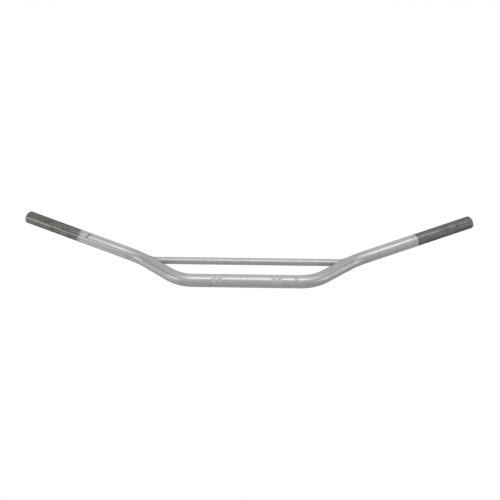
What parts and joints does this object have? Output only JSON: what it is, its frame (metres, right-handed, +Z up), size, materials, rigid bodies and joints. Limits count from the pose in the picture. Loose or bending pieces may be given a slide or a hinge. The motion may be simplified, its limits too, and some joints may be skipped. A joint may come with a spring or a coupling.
{
  "type": "handlebar with crossbar",
  "caption": "Wide steel handlebar with two compound bends a side, open ends, and a thin straight crossbar welded between the rises.",
  "frame": {"origin": "centre of the clamp stretch, on the tube's axis", "axes": "+X towards the rider's right grip, +Y forwards, +Z up; the bar rises along +Z and its grips sweep back along -Y"},
  "size_m": [0.8, 0.1166, 0.0887],
  "materials": {
    "painted_tube": "worn satin silver paint, bare dark steel under the lost grips",
    "painted_crossbar": "satin silver paint",
    "painted_weld": "satin silver paint over rippled weld metal"
  },
  "bodies": {
    "root": {"main_tube": "painted_tube", "crossbar": "painted_crossbar", "weld_bead_left": "painted_weld", "weld_bead_right": "painted_weld"}
  },
  "joints": []
}
